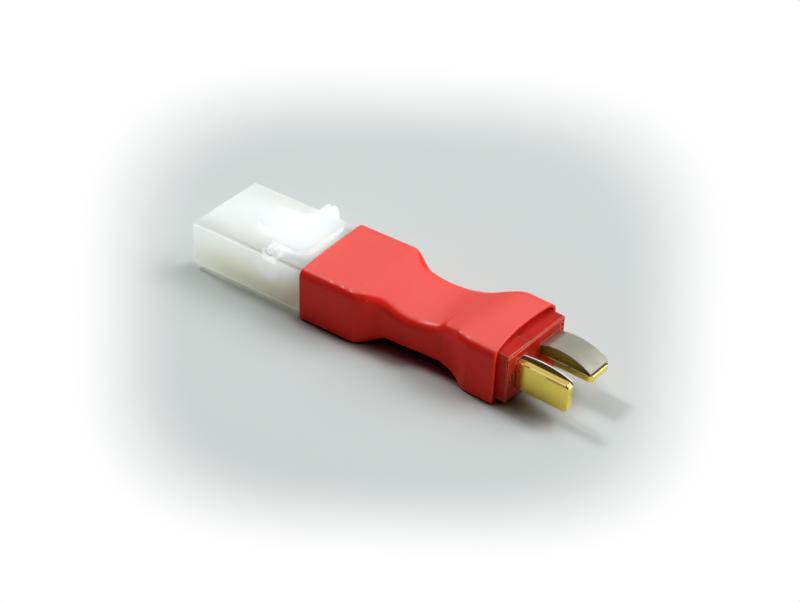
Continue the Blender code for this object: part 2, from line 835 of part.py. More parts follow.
def build_plug_body():
    """The red body: a block with one raised half, slots for the blades and pockets for the springs."""
    half = PLUG_WIDTH / 2
    rear = -PLUG_LENGTH
    body = block("plug_body", (rear, -half, SEAT), (0.0, half, PLUG_TOP), PLUG, RED_NYLON)
    chamfer_rear(body, rear, PLUG_REAR_EDGE)
    bevel(body, PLUG_EDGE, segments=1, angle=math.radians(60))
    pad = block(
        "raised_half",
        (rear + PLUG_REAR_EDGE + PLUG_EDGE, -half + PLUG_EDGE, PLUG_Z),
        (-PLUG_EDGE / 4, RAISE_EDGE_Y, PLUG_TOP + PLUG_RAISE),
        PLUG,
    )
    bevel(pad, PLUG_RAISE / 2)
    boolean(body, pad, "UNION")
    for name, (back, right, left, low, high) in plug_cuts().items():
        boolean(body, block(name, (back, right, low), (BLADE_TIP, left, high), PLUG))
    return body


# Shrink sleeve


def sleeve_section(x):
    """Half width, top, bottom and the two corner radii of the sleeve's outside at x."""
    house_half = HOUSING_WIDTH / 2 + SEAT
    house_top = HOUSING_TOP + SEAT
    plug_half = PLUG_WIDTH / 2 + SEAT + SLEEVE_SLACK
    plug_top = PLUG_TOP + PLUG_RAISE + SEAT
    waist_half = lead_spread(x) / 2 + LEAD_DIAMETER / 2 + SEAT
    waist_top = LEAD_Z + LEAD_DIAMETER / 2 + SEAT
    waist_bottom = LEAD_Z - LEAD_DIAMETER / 2 - SEAT
    leave = ease(x, WAIST_START, WAIST_START + SHOULDER_RUN)
    arrive = ease(x, PLUG_REAR - PLUG_SHOULDER_RUN, PLUG_REAR)
    fall = ease(x, WAIST_START, WAIST_START + WAIST_TOP_RUN)
    rise = ease(x, PLUG_REAR - PLUG_TOP_RUN, PLUG_REAR)
    half = mix(mix(house_half, waist_half, leave), plug_half, arrive)
    top = mix(mix(house_top, waist_top, fall), plug_top, rise)
    foot_down = PLUG_REAR - PLUG_FOOT_LEAD
    settle = ease(x, foot_down - PLUG_FOOT_RUN, foot_down)
    bottom = waist_bottom * leave * (1 - settle)
    soft = leave * (1 - arrive)
    corner, foot = mix(LAND_CORNER, WAIST_CORNER, soft), mix(LAND_FOOT, WAIST_FOOT, soft)
    return half, top, bottom, corner, foot


def section_points(half, top, bottom, corner, foot):
    """A rounded rectangle as an even ring of points, y and z, from the right foot round."""
    spots = [
        (-half + foot, bottom + foot, foot, 180.0),
        (half - foot, bottom + foot, foot, 270.0),
        (half - corner, top - corner, corner, 0.0),
        (-half + corner, top - corner, corner, 90.0),
    ]
    arcs = []
    for y, z, radius, begin in spots:
        arc = []
        for step in range(CORNER_STEPS + 1):
            angle = math.radians(begin + 90.0 * step / CORNER_STEPS)
            arc.append(Vector((y + radius * math.cos(angle), z + radius * math.sin(angle))))
        arcs.append(arc)
    ring = []
    for index, arc in enumerate(arcs):
        ring += arc
        following = arcs[(index + 1) % len(arcs)][0]
        for step in range(1, FLAT_STEPS + 1):
            ring.append(arc[-1].lerp(following, step / (FLAT_STEPS + 1)))
    return ring


def build_sleeve():
    """The shrink sleeve: one lofted tube, tight on both ends and drawn in round the leads."""
    end = PLUG_FRONT - SLEEVE_TRIM
    shape = bmesh.new()
    rings = []
    for station in range(SLEEVE_STATIONS + 1):
        x = mix(SLEEVE_START, end, station / SLEEVE_STATIONS)
        middle, heading = centre_line(x)
        skew = mix(SLEEVE_START_SKEW, 0.0, ease(x, SLEEVE_START, HOUSING_LENGTH))
        skew += SLEEVE_TRIM_SKEW * ease(x, PLUG_REAR, end)
        ring = []
        for y, z in section_points(*sleeve_section(x)):
            along = x - y * math.sin(heading) + y * skew
            ring.append(shape.verts.new((along, middle + y * math.cos(heading), z)))
        rings.append(ring)
    count = len(rings[0])
    for first, second in zip(rings, rings[1:]):
        for index in range(count):
            following = (index + 1) % count
            shape.faces.new((first[index], first[following], second[following], second[index]))
    sleeve = from_bmesh("shrink_sleeve", shape, MOUTH, SLEEVE_RED)
    wall = sleeve.modifiers.new("wall", "SOLIDIFY")
    wall.thickness = SLEEVE_WALL
    wall.offset = -1.0
    smooth(sleeve, math.radians(60))
    return sleeve


def main():
    """Build every piece of the adapter."""
    build_housing()
    build_lever()
    for side, name, jacket in ((1, "left", RED_JACKET), (-1, "right", BLACK_JACKET)):
        build_terminal(side, f"pin_terminal_{name}")
        build_lead(side, f"lead_{name}", jacket)
        build_solder(side, f"solder_joint_{name}")
    build_plug_body()
    build_blade("blade_upright", "XZ", (0.0, UPRIGHT_Y, PLUG_Z))
    build_blade("blade_flat", "XY", (0.0, FLAT_Y, PLUG_Z))
    build_spring("leaf_spring_upright", UPRIGHT_CROWN, -math.pi / 2, UPRIGHT_Y, PLUG_Z)
    build_spring("leaf_spring_flat", FLAT_CROWN, 0.0, FLAT_Y, PLUG_Z)
    build_sleeve()


main()
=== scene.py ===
"""Looks for the battery connector adapter: its finishes, its shaped sleeve, the light and the camera.

Lengths are in metres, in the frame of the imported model. A place along the adapter counts from the
receptacle's open mouth, as in the part's own source.
"""

import logging
import math
from dataclasses import dataclass
from enum import Enum

import bmesh
import bpy
from mathutils import Matrix, Vector


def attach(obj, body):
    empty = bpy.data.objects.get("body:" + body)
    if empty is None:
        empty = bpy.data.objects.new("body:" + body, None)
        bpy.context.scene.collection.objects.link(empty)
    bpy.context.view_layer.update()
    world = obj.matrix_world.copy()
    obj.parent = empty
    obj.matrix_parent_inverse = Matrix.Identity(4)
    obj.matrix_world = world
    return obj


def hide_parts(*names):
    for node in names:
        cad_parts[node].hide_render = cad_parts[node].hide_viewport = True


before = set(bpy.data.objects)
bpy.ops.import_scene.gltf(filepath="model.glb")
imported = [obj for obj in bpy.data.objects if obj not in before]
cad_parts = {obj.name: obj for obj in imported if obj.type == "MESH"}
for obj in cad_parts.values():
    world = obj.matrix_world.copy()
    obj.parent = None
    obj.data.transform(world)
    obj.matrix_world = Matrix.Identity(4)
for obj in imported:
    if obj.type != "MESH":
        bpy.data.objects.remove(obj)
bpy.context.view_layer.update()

LOG = logging.getLogger("adapter")
MM = 0.001
MOUTH_X = -35.18 * MM

# The Mix node's colour sockets, by number, because its other kinds of socket share their names
MIX_FIRST, MIX_SECOND, MIX_RESULT = 6, 7, 2
# How many directions a rounded edge and a hollow are felt out with
ROUNDING_SAMPLES, OPENNESS_SAMPLES = 6, 8
# The cosines of the turn from which a surface counts as an edge, and at which it is wholly one
EDGE_BEGINS, EDGE_FULL = 0.99, 0.8
# The share of a speck's size that is fully speck
SPECK_CORE = 0.4
# A grain of dust under the sleeve: how high it stands, how far it reaches each way, both in
# millimetres, and which way it pushes the tubing
DUST_HEIGHT, DUST_REACH = 0.1, 0.4
DUST_PUSH = (0.0, -0.5, 0.85)
# The camera's heading from -Y towards +X, which the floor's fade shares
VIEW_HEADING = math.radians(34.8)

Socket = bpy.types.NodeSocket
Colour = tuple[float, float, float]
Span = tuple[float, float]
Feed = Socket | float | Colour


def station(x: float, y: float, z: float) -> Vector:
    """A place given in millimetres from the mouth, in the frame."""
    return Vector((MOUTH_X + x * MM, y * MM, z * MM))


class Axis(Enum):
    """The frame's axes, by their place in a vector."""

    ALONG = 0
    ACROSS = 1
    UP = 2


class Body(Enum):
    """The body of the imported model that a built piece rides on."""

    ADAPTER = "adapter"


@dataclass(frozen=True)
class Grain:
    """Fractal noise.

    Args:
        scale: How many features there are to a metre.
        detail: How many finer layers it has.
        stretch: A factor on the scale along each axis.
    """

    scale: float
    detail: float = 3.0
    stretch: Colour = (1.0, 1.0, 1.0)


@dataclass(frozen=True)
class Patch:
    """A soft-edged box in the frame.

    Args:
        low: Its lowest corner.
        high: Its highest corner.
        soft: How far its edges fade.
    """

    low: Vector
    high: Vector
    soft: float


@dataclass(frozen=True)
class Relief:
    """Fine relief and rounded edges.

    Args:
        depth: How deep a height of 1 is.
        strength: How much of it shows.
        rounding: The radius that sharp edges get.
    """

    depth: float
    strength: float
    rounding: float


# Shader building


class ShaderGraph:
    """One material's nodes, with short calls for the steps that the finishes share."""

    def __init__(self, name: str) -> None:
        """Start a material with one Principled shader.

        Args:
            name: The material's name.
        """
        self.material = bpy.data.materials.new(name)
        self.material.use_nodes = True
        self.nodes = self.material.node_tree.nodes
        self.nodes.clear()
        self.output = self.nodes.new("ShaderNodeOutputMaterial")
        self.shader = self.nodes.new("ShaderNodeBsdfPrincipled")
        self.join(self.shader.outputs["BSDF"], self.output.inputs["Surface"])
        coordinates = self.nodes.new("ShaderNodeTexCoord")
        self.place = coordinates.outputs["Object"]
        self.turned = coordinates.outputs["Normal"]
        self.axes = self.split(self.place)

    def join(self, source: Socket, target: Socket) -> None:
        """Link one socket to another."""
        self.material.node_tree.links.new(source, target)

    def feed(self, target: Socket, source: Feed) -> None:
        """Give a socket a link, a number or a colour.

        Args:
            target: The input to fill.
            source: Another node's output, or a plain value.
        """
        if isinstance(source, bpy.types.NodeSocket):
            self.join(source, target)
        elif isinstance(source, tuple) and len(target.default_value) == 4:
            target.default_value = (*source, 1.0)
        else:
            target.default_value = source

    def set(self, **values: Feed) -> None:
        """Fill the Principled shader's inputs.

        Args:
            values: Input names in lower case with underscores, and what each gets.
        """
        for key, value in values.items():
            title = " ".join(word.capitalize() for word in key.split("_")).replace("Ior", "IOR")
            self.feed(self.shader.inputs[title], value)

    def split(self, vector: Socket) -> list[Socket]:
        """A vector's three parts.

        Args:
            vector: The vector's socket.

        Returns:
            The sockets of its parts along, across and up.
        """
        node = self.nodes.new("ShaderNodeSeparateXYZ")
        self.join(vector, node.inputs[0])
        return list(node.outputs)

    def maths(self, operation: str, first: Feed, second: Feed = 0.0) -> Socket:
        """One Math node.

        Args:
            operation: The node's operation, such as POWER.
            first: Its first input.
            second: Its second input.

        Returns:
            The result's socket.
        """
        node = self.nodes.new("ShaderNodeMath")
        node.operation = operation
        self.feed(node.inputs[0], first)
        self.feed(node.inputs[1], second)
        return node.outputs[0]

    def plus(self, first: Feed, second: Feed) -> Socket:
        """The sum of two values."""
        return self.maths("ADD", first, second)

    def minus(self, first: Feed, second: Feed) -> Socket:
        """The first value less the second."""
        return self.maths("SUBTRACT", first, second)

    def times(self, first: Feed, second: Feed) -> Socket:
        """The product of two values."""
        return self.maths("MULTIPLY", first, second)

    def either(self, first: Feed, second: Feed) -> Socket:
        """The greater of two values, which joins two masks."""
        return self.maths("MAXIMUM", first, second)

    def both(self, first: Feed, second: Feed) -> Socket:
        """The smaller of two values, which is where two masks overlap."""
        return self.maths("MINIMUM", first, second)

    def step(self, value: Feed, span: Span) -> Socket:
        """A smooth step of a value.

        Args:
            value: What is measured.
            span: Where the step is still 0 and where it has reached 1, which may lie below.

        Returns:
            The step's socket, from 0 to 1.
        """
        start, end = span
        rising = start < end
        node = self.nodes.new("ShaderNodeMapRange")
        node.interpolation_type = "SMOOTHSTEP"
        self.feed(node.inputs["Value"], value)
        self.feed(node.inputs["From Min"], min(span))
        self.feed(node.inputs["From Max"], max(span))
        self.feed(node.inputs["To Min"], 0.0 if rising else 1.0)
        self.feed(node.inputs["To Max"], 1.0 if rising else 0.0)
        return node.outputs["Result"]

    def between(self, value: Feed, span: Span) -> Socket:
        """A value from 0 to 1, stretched so that 0 and 1 become the span's first and second value."""
        low, high = span
        return self.plus(self.times(value, high - low), low)

    def patch(self, box: Patch) -> Socket:
        """A mask that is 1 inside a box.

        Args:
            box: The soft-edged box.

        Returns:
            The mask's socket.
        """
        mask: Feed = 1.0
        for axis in Axis:
            place = self.axes[axis.value]
            for edge, way in ((box.low[axis.value], 0.5), (box.high[axis.value], -0.5)):
                fade = way * box.soft
                mask = self.times(mask, self.step(place, (edge - fade, edge + fade)))
        return mask

    def ball(self, middle: Vector, radius: float, soft: float) -> Socket:
        """A mask that is 1 inside a soft-edged ball.

        Args:
            middle: Its middle.
            radius: Its radius.
            soft: How far its edge fades.

        Returns:
            The mask's socket.
        """
        node = self.nodes.new("ShaderNodeVectorMath")
        node.operation = "DISTANCE"
        self.join(self.place, node.inputs[0])
        node.inputs[1].default_value = middle
        return self.step(node.outputs["Value"], (radius + soft / 2, radius - soft / 2))

    def noise(self, grain: Grain) -> Socket:
        """Fractal noise in the frame.

        Args:
            grain: Its scale, detail and stretch.

        Returns:
            The noise's value, from 0 to 1.
        """
        turn = self.nodes.new("ShaderNodeMapping")
        turn.inputs["Scale"].default_value = grain.stretch
        self.join(self.place, turn.inputs["Vector"])
        node = self.nodes.new("ShaderNodeTexNoise")
        self.join(turn.outputs["Vector"], node.inputs["Vector"])
        node.inputs["Scale"].default_value = grain.scale
        node.inputs["Detail"].default_value = grain.detail
        return node.outputs["Fac"]

    def specks(self, scale: float, size: float) -> Socket:
        """Sparse round specks.

        Args:
            scale: How many cells there are to a metre.
            size: The speck's share of its cell.

        Returns:
            A mask that is 1 in the middle of a speck.
        """
        node = self.nodes.new("ShaderNodeTexVoronoi")
        self.join(self.place, node.inputs["Vector"])
        node.inputs["Scale"].default_value = scale
        return self.step(node.outputs["Distance"], (size, size * SPECK_CORE))

    def facing(self, axis: Axis) -> Socket:
        """How far the surface faces along one of the frame's axes, from -1 to 1."""
        return self.split(self.turned)[axis.value]

    def blend(self, share: Feed, first: Feed, second: Feed) -> Socket:
        """A mix of two colours.

        Args:
            share: How much of the second colour there is.
            first: The colour at share 0.
            second: The colour at share 1.

        Returns:
            The mixed colour's socket.
        """
        node = self.nodes.new("ShaderNodeMix")
        node.data_type = "RGBA"
        self.feed(node.inputs["Factor"], share)
        self.feed(node.inputs[MIX_FIRST], first)
        self.feed(node.inputs[MIX_SECOND], second)
        return node.outputs[MIX_RESULT]

    def rounded(self, radius: float) -> Socket:
        """The surface's direction with its sharp edges rounded.

        Args:
            radius: The radius that the edges get.

        Returns:
            The rounded normal's socket.
        """
        bevel = self.nodes.new("ShaderNodeBevel")
        bevel.samples = ROUNDING_SAMPLES
        bevel.inputs["Radius"].default_value = radius
        return bevel.outputs["Normal"]

    def edges(self, radius: float, turned: float = EDGE_FULL) -> Socket:
        """Where a sharp edge lies near.

        Args:
            radius: How far from an edge the mask reaches.
            turned: The cosine of the turn at which the mask is full.

        Returns:
            A mask that is 1 on the edge itself.
        """
        flat = self.nodes.new("ShaderNodeNewGeometry")
        turn = self.nodes.new("ShaderNodeVectorMath")
        turn.operation = "DOT_PRODUCT"
        self.join(self.rounded(radius), turn.inputs[0])
        self.join(flat.outputs["True Normal"], turn.inputs[1])
        return self.step(turn.outputs["Value"], (EDGE_BEGINS, turned))

    def openness(self, reach: float) -> Socket:
        """How open the surface lies.

        Args:
            reach: How far off the things are that still close it in.

        Returns:
            A value from 0, right under something, to 1, with nothing within reach.
        """
        node = self.nodes.new("ShaderNodeAmbientOcclusion")
        node.samples = OPENNESS_SAMPLES
        node.inputs["Distance"].default_value = reach
        return node.outputs["AO"]

    def rays(self) -> bpy.types.bpy_prop_collection:
        """The kinds of ray that a surface can tell apart."""
        return self.nodes.new("ShaderNodeLightPath").outputs

    def cover(self, share: Feed, kind: str, colour: Feed) -> None:
        """Mix a second shader over all that the material has so far.

        Args:
            share: How much of the second shader there is.
            kind: The second shader's node type.
            colour: Its colour.
        """
        before = self.output.inputs["Surface"].links[0].from_socket
        second = self.nodes.new(kind)
        self.feed(second.inputs["Color"], colour)
        choose = self.nodes.new("ShaderNodeMixShader")
        self.feed(choose.inputs["Fac"], share)
        self.join(before, choose.inputs[1])
        self.join(second.outputs[0], choose.inputs[2])
        self.join(choose.outputs[0], self.output.inputs["Surface"])

    def relief(self, height: Socket, shape: Relief, lift: Feed = 0.0) -> None:
        """Fine relief and rounded edges on the Principled shader.

        Args:
            height: The height's socket, from 0 to 1.
            shape: The relief's depth, strength and rounding.
            lift: How far the surface is turned upwards, where light gathers in its edges.
        """
        up = self.nodes.new("ShaderNodeCombineXYZ")
        self.feed(up.inputs["Z"], lift)
        turned = self.nodes.new("ShaderNodeVectorMath")
        turned.operation = "ADD"
        self.join(self.rounded(shape.rounding), turned.inputs[0])
        self.join(up.outputs[0], turned.inputs[1])
        level = self.nodes.new("ShaderNodeVectorMath")
        level.operation = "NORMALIZE"
        self.join(turned.outputs[0], level.inputs[0])
        bump = self.nodes.new("ShaderNodeBump")
        bump.inputs["Distance"].default_value = shape.depth
        bump.inputs["Strength"].default_value = shape.strength
        self.join(height, bump.inputs["Height"])
        self.join(level.outputs[0], bump.inputs["Normal"])
        self.join(bump.outputs["Normal"], self.shader.inputs["Normal"])


# Finishes


@dataclass(frozen=True)
class WhiteNylon:
    """Natural white nylon: milky and see-through, greyer over hollows and beside the latch with painted
    shade, warmer and darker low on its side and towards the sleeve with painted shade, and painted
    highlights on its edges and on a lit spot of its side.
    """

    milk: Colour = (0.94, 0.965, 0.975)
    # Painted shade: grey over hollows and beside the latch, warmer low on the side, darker towards the
    # sleeve
    shade: Colour = (0.68, 0.75, 0.78)
    warm: Colour = (0.92, 0.92, 0.82)
    deep: Colour = (0.88, 0.84, 0.72)
    # The painted highlight's near white
    rim: Colour = (0.99, 0.995, 0.985)
    tint: Colour = (1.0, 0.99, 0.97)
    scatter: Colour = (1.0, 0.97, 0.85)
    scatter_depth: float = 1.0 * MM
    ior: float = 1.5
    rough: Span = (0.28, 0.44)
    rough_grain: Grain = Grain(900.0, 4.0)
    skin: Grain = Grain(1500.0)
    relief: Relief = Relief(0.012 * MM, 0.6, 0.22 * MM)
    cloud: Grain = Grain(300.0, 2.0)
    cloud_edge: Span = (0.3, 0.7)

    # Painted shade over the roof of the shroud, and over the roof beside the latch up to the sleeve
    near_border: Patch = Patch(station(1.9, -6.3, 8.0), station(16.0, -4.2, 12.0), 1.4 * MM)
    near_border_share: float = 0.1
    roof: Patch = Patch(station(2.0, -4.6, 8.0), station(14.0, 6.4, 12.0), 1.8 * MM)
    roof_share: float = 0.05
    roof_cloud: Span = (0.35, 1.0)
    near_latch: Patch = Patch(station(17.4, -6.4, 7.0), station(26.0, -3.7, 9.4), 1.2 * MM)
    near_latch_share: float = 0.5
    far_latch: Patch = Patch(station(17.6, 2.7, 7.0), station(26.0, 6.2, 9.4), 1.4 * MM)
    latch_cloud: Span = (0.45, 0.85)

    # Painted shade on the side, which turns warmer and darker from its top down and from the mouth to
    # the sleeve; a painted lit spot lightens it
    side_drop: Span = (8.1 * MM, 3.0 * MM)
    mouth_run: Span = (MOUTH_X + 1.0 * MM, MOUTH_X + 9.0 * MM)
    mouth_warmth: Span = (0.35, 0.9)
    sleeve_run: Span = (MOUTH_X + 8.0 * MM, MOUTH_X + 24.0 * MM)
    # A painted lit spot on the side: its middle, size, soft edge and share
    lit_spot: Vector = station(15.6, -7.6, 6.7)
    lit_spot_radius: float = 2.4 * MM
    lit_spot_soft: float = 1.1 * MM
    lit_spot_share: float = 0.75

    # Light inside the nylon: brightest in its edges, which with a ridge along the near top edge also get
    # a painted highlight, and held back by the near skin and the base
    edge_radius: float = 0.4 * MM
    highlight_ridge: Patch = Patch(station(-0.5, -8.3, 8.3), station(24.0, -7.45, 9.1), 0.25 * MM)
    glow: Span = (0.57, 0.95)
    near_skin: Span = (-7.8 * MM, -7.4 * MM)
    base: Span = (0.9 * MM, 3.0 * MM)
    clear: Span = (0.2, 0.85)

    def tone(self, graph: ShaderGraph, light: Socket) -> Socket:
        """The nylon's colour, with its painted shade and painted highlights.

        Args:
            graph: The material's nodes.
            light: A mask of the edges that get a painted highlight.

        Returns:
            The colour's socket.
        """
        along, _, up = graph.axes
        cloud = graph.step(graph.noise(self.cloud), self.cloud_edge)
        # Painted shade: grey over the hollow roof and beside the latch
        roof = graph.either(
            graph.times(graph.patch(self.near_border), self.near_border_share),
            graph.times(graph.patch(self.roof), self.roof_share),
        )
        beside = graph.either(
            graph.times(graph.patch(self.near_latch), self.near_latch_share),
            graph.patch(self.far_latch),
        )
        roof = graph.times(roof, graph.between(cloud, self.roof_cloud))
        beside = graph.times(beside, graph.between(cloud, self.latch_cloud))
        tone = graph.blend(graph.either(roof, beside), self.milk, self.shade)
        # Painted light: a lit spot on the side, which also holds back the side's painted shade
        lit_spot = graph.ball(self.lit_spot, self.lit_spot_radius, self.lit_spot_soft)
        side = graph.times(
            graph.step(up, self.side_drop),
            graph.minus(1.0, graph.times(lit_spot, self.lit_spot_share)),
        )
        # Painted shade: warmer and darker low on the side and towards the sleeve
        warmth = graph.between(graph.step(along, self.mouth_run), self.mouth_warmth)
        tone = graph.blend(graph.times(side, warmth), tone, self.warm)
        tone = graph.blend(graph.times(side, graph.step(along, self.sleeve_run)), tone, self.deep)
        # Painted highlight: the lit spot and the edges turn near white
        return graph.blend(light, graph.blend(lit_spot, tone, self.rim), self.rim)

    def make(self) -> bpy.types.Material:
        """Build the material.

        Returns:
            The finished material.
        """
        graph = ShaderGraph("white_nylon")
        _, across, up = graph.axes
        # The edges and the ridge along the near top edge get a painted highlight, and let more light
        # through
        light = graph.either(graph.edges(self.edge_radius), graph.patch(self.highlight_ridge))
        tone = self.tone(graph, light)
        graph.set(
            base_color=tone,
            roughness=graph.between(graph.noise(self.rough_grain), self.rough),
            ior=self.ior,
            subsurface_weight=1.0,
            subsurface_scale=self.scatter_depth,
            subsurface_radius=self.scatter,
        )
        graph.relief(graph.noise(self.skin), self.relief)
        graph.cover(graph.between(light, self.glow), "ShaderNodeBsdfTranslucent", tone)
        inner = graph.both(graph.step(across, self.near_skin), graph.step(up, self.base))
        passed = graph.times(graph.rays()["Is Shadow Ray"], graph.between(inner, self.clear))
        graph.cover(passed, "ShaderNodeBsdfTransparent", self.tint)
        return graph.material


@dataclass(frozen=True)
class RedNylon:
    """Deep red see-through nylon, with a painted glow on its thin edges, where they catch the light."""

    deep: Colour = (0.72, 0.02, 0.01)
    bright: Colour = (0.8, 0.035, 0.02)
    # The colour of the painted edge glow
    glow: Colour = (1.0, 0.5, 0.26)
    seen_through: Colour = (1.0, 0.16, 0.07)
    let_through: Colour = (1.0, 0.2, 0.1)
    scatter: Colour = (1.0, 0.12, 0.08)
    scatter_depth: float = 0.8 * MM
    scatter_weight: float = 0.45
    specular: float = 0.26
    rough: Span = (0.24, 0.42)
    rough_grain: Grain = Grain(1200.0, 4.0)
    skin: Grain = Grain(1600.0)
    relief: Relief = Relief(0.012 * MM, 0.6, 0.1 * MM)
    cloud: Grain = Grain(420.0)
    cloud_share: Span = (0.0, 0.6)
    edge_radius: float = 0.2 * MM
    edge_turn: float = 0.9
    # Noise that breaks up the painted edge glow
    glow_breakup: Grain = Grain(1400.0, 2.0)
    glow_breakup_edge: Span = (0.3, 0.62)
    nick_share: Span = (0.45, 0.95)
    see_through_share: Span = (0.4, 0.0)
    shadow_share: float = 0.7

    def make(self) -> bpy.types.Material:
        """Build the material.

        Returns:
            The finished material.
        """
        graph = ShaderGraph("red_nylon")
        rim = graph.edges(self.edge_radius, self.edge_turn)
        # Painted glow: the edges turn orange where the noise lets them
        glow_breakup = graph.between(graph.step(graph.noise(self.glow_breakup), self.glow_breakup_edge), self.nick_share)
        cloud = graph.between(graph.noise(self.cloud), self.cloud_share)
        tone = graph.blend(cloud, self.deep, self.bright)
        graph.set(
            base_color=graph.blend(graph.times(rim, glow_breakup), tone, self.glow),
            roughness=graph.between(graph.noise(self.rough_grain), self.rough),
            specular_ior_level=self.specular,
            subsurface_weight=self.scatter_weight,
            subsurface_scale=self.scatter_depth,
            subsurface_radius=self.scatter,
        )
        graph.relief(graph.noise(self.skin), self.relief, rim)
        see_through = graph.between(rim, self.see_through_share)
        graph.cover(see_through, "ShaderNodeBsdfRefraction", self.seen_through)
        passed = graph.times(graph.rays()["Is Shadow Ray"], self.shadow_share)
        graph.cover(passed, "ShaderNodeBsdfTransparent", self.let_through)
        return graph.material


@dataclass(frozen=True)
class ShrinkRed:
    """Red shrink tubing: smooth, with a soft gloss, a painted sheen on the faces that look up, dust that
    is partly painted sheen, a painted highlight on its edges, faint streaks along it and a few dust
    specks.
    """

    red: Colour = (0.95, 0.022, 0.014)
    # Painted sheen on the faces that look up, and dust that lies mostly there as painted sheen too
    painted_sheen: Colour = (0.995, 0.1, 0.082)
    dusty_sheen: Colour = (0.95, 0.12, 0.1)
    speckled: Colour = (0.95, 0.3, 0.26)
    # Painted highlight on the edges
    edge_highlight_and_wear: Colour = (0.98, 0.2, 0.15)
    scatter: Colour = (1.0, 0.1, 0.08)
    scatter_depth: float = 0.5 * MM
    scatter_weight: float = 0.1
    rough: Span = (0.3, 0.44)
    specular: Span = (0.14, 0.42)
    top_turn: Span = (0.78, 0.96)
    # Where the dust lies, which is partly painted sheen
    cloud: Grain = Grain(160.0, 4.0)
    dust_edge: Span = (0.35, 0.75)
    dust_share: Span = (0.05, 0.4)
    speck_scale: float = 420.0
    speck_size: float = 0.1
    speck_share: float = 0.25
    edge_radius: float = 0.1 * MM
    edge_share: float = 0.4
    streak: Grain = Grain(420.0, 3.0, (0.2, 1.0, 1.0))
    streak_height: float = 0.7
    skin: Grain = Grain(2200.0, 2.0)
    skin_height: float = 0.1
    speck_height: float = 0.3
    relief: Relief = Relief(0.06 * MM, 0.4, 0.12 * MM)

    def make(self) -> bpy.types.Material:
        """Build the material.

        Returns:
            The finished material.
        """
        graph = ShaderGraph("sleeve_red")
        streak = graph.noise(self.streak)
        specks = graph.specks(self.speck_scale, self.speck_size)
        # Painted sheen: the faces that look up are painted pale, and the dust on them adds painted sheen
        upward = graph.step(graph.facing(Axis.UP), self.top_turn)
        dust = graph.times(
            graph.step(graph.noise(self.cloud), self.dust_edge),
            graph.between(upward, self.dust_share),
        )
        tone = graph.blend(dust, graph.blend(upward, self.red, self.painted_sheen), self.dusty_sheen)
        tone = graph.blend(graph.times(specks, self.speck_share), tone, self.speckled)
        # Painted highlight on the edges
        edge_highlight_and_wear = graph.times(graph.edges(self.edge_radius), self.edge_share)
        graph.set(
            base_color=graph.blend(edge_highlight_and_wear, tone, self.edge_highlight_and_wear),
            roughness=graph.between(streak, self.rough),
            specular_ior_level=graph.between(upward, self.specular),
            subsurface_weight=self.scatter_weight,
            subsurface_scale=self.scatter_depth,
            subsurface_radius=self.scatter,
        )
        height = graph.plus(
            graph.times(streak, self.streak_height),
            graph.times(graph.noise(self.skin), self.skin_height),
        )
        height = graph.plus(height, graph.times(specks, self.speck_height))
        graph.relief(height, self.relief)
        return graph.material


@dataclass(frozen=True)
class GoldPlate:
    """Bright gold plating, a little worn: fine marks, small stains, worn edges that also carry a painted
    highlight, and faces that look up painted darker as shade.
    """

    gold: Colour = (0.98, 0.76, 0.14)
    # Painted shade on the faces that look up
    top_shade: Colour = (0.74, 0.52, 0.13)
    # Worn edges, with a painted highlight on them
    edge_highlight_and_wear: Colour = (0.8, 0.7, 0.33)
    dull: Colour = (0.7, 0.52, 0.12)
    dark: Colour = (0.4, 0.19, 0.06)
    rough: Span = (0.16, 0.32)
    stain: Grain = Grain(700.0)
    stain_edge: Span = (0.62, 0.78)
    stain_share: float = 0.45
    top_shade_turn: Span = (0.5, 0.9)
    chamfer_from: Span = (0.3, 0.5)
    chamfer_to: Span = (0.95, 0.8)
    edge_radius: float = 0.12 * MM
    cloud: Grain = Grain(520.0, 5.0)
    wear_edge: Span = (0.25, 0.45)
    nick: Patch = Patch(station(66.0, -5.6, 6.7), station(70.2, -5.0, 7.1), 0.25 * MM)
    nick_share: float = 0.7
    hairs: Grain = Grain(900.0, 3.0, (0.15, 1.0, 4.0))
    cloud_height: float = 0.8
    relief: Relief = Relief(0.008 * MM, 0.4, 0.1 * MM)

    def make(self) -> bpy.types.Material:
        """Build the material.

        Returns:
            The finished material.
        """
        graph = ShaderGraph("gold_plate")
        cloud = graph.noise(self.cloud)
        rising = graph.facing(Axis.UP)
        stain = graph.times(graph.step(graph.noise(self.stain), self.stain_edge), self.stain_share)
        tone = graph.blend(stain, self.gold, self.dull)
        # Painted shade on the faces that look up
        tone = graph.blend(graph.step(rising, self.top_shade_turn), tone, self.top_shade)
        # Worn edges and the chamfers along the top carry a painted highlight
        chamfer = graph.times(graph.step(rising, self.chamfer_from), graph.step(rising, self.chamfer_to))
        rim = graph.either(graph.edges(self.edge_radius), chamfer)
        edge_highlight_and_wear = graph.times(rim, graph.step(cloud, self.wear_edge))
        tone = graph.blend(edge_highlight_and_wear, tone, self.edge_highlight_and_wear)
        nick = graph.times(graph.patch(self.nick), self.nick_share)
        graph.set(
            base_color=graph.blend(nick, tone, self.dark),
            metallic=1.0,
            roughness=graph.between(cloud, self.rough),
        )
        height = graph.plus(graph.noise(self.hairs), graph.times(cloud, self.cloud_height))
        graph.relief(height, self.relief, edge_highlight_and_wear)
        return graph.material


